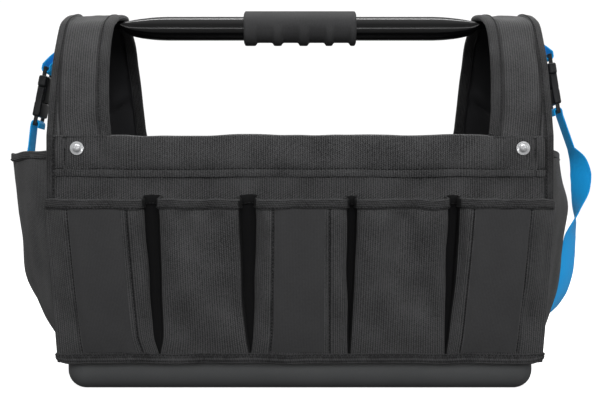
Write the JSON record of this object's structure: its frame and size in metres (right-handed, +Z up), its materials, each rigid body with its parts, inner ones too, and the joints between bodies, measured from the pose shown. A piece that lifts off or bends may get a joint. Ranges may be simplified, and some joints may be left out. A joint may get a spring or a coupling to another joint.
{
  "type": "open top tool tote",
  "caption": "Open top tool tote with a moulded base tray, arched ends, a tubular carrying handle, pleated front pockets, end pockets and buckled blue straps.",
  "frame": {"origin": "centre of the base tray's flat underside", "axes": "+Z up, +X to the right seen from the front along the tote's length, -Y the side with the pleated pockets"},
  "size_m": [0.6155, 0.2702, 0.386],
  "materials": {
    "ballistic_nylon": "coarse black ballistic nylon weave, low sheen",
    "smooth_nylon": "fine plain black cloth, smoother than the body",
    "smooth_lining": "smooth black lining cloth",
    "binding_tape": "ribbed black binding tape, sewn",
    "moulded_base": "satin dark grey moulded polypropylene",
    "handle_steel": "glossy black powder coat on a steel tube",
    "rivet_metal": "polished nickel-plated rivet",
    "grip_rubber": "matte dark grey moulded rubber",
    "buckle_plastic": "black moulded acetal, satin",
    "blue_webbing": "blue polyester webbing"
  },
  "bodies": {
    "root": {"base_tray": "moulded_base", "base_hem": "binding_tape", "front_wall": "ballistic_nylon", "rim_band_front": "ballistic_nylon", "rim_rivet_front_left": "rivet_metal", "rim_rivet_front_right": "rivet_metal", "back_wall": "ballistic_nylon", "rim_band_back": "ballistic_nylon", "rim_rivet_back_left": "rivet_metal", "rim_rivet_back_right": "rivet_metal", "end_panel_left": "ballistic_nylon", "end_lining_left": "smooth_lining", "arch_band_left": "ballistic_nylon", "arch_binding_left": "binding_tape", "corner_piping_left": "binding_tape", "side_pocket_left": "ballistic_nylon", "side_pocket_binding_left": "binding_tape", "handle_rivet_left": "rivet_metal", "strap_loop_left": "blue_webbing", "buckle_socket_left": "buckle_plastic", "buckle_plug_left": "buckle_plastic", "strap_left": "blue_webbing", "end_panel_right": "ballistic_nylon", "end_lining_right": "smooth_lining", "arch_band_right": "ballistic_nylon", "arch_binding_right": "binding_tape", "corner_piping_right": "binding_tape", "side_pocket_right": "ballistic_nylon", "side_pocket_binding_right": "binding_tape", "handle_rivet_right": "rivet_metal", "strap_loop_right": "blue_webbing", "buckle_socket_right": "buckle_plastic", "buckle_plug_right": "buckle_plastic", "strap_right": "blue_webbing", "front_pocket_1": "ballistic_nylon", "front_pocket_binding_1": "binding_tape", "front_pocket_2": "ballistic_nylon", "front_pocket_binding_2": "binding_tape", "front_pocket_3": "ballistic_nylon", "front_pocket_binding_3": "binding_tape", "front_pocket_4": "ballistic_nylon", "front_pocket_binding_4": "binding_tape", "front_pocket_5": "ballistic_nylon", "front_pocket_binding_5": "binding_tape", "pocket_patch_1": "smooth_nylon", "pocket_patch_3": "smooth_nylon", "pocket_patch_5": "smooth_nylon", "handle_tube": "handle_steel", "handle_grip": "grip_rubber"}
  },
  "joints": []
}
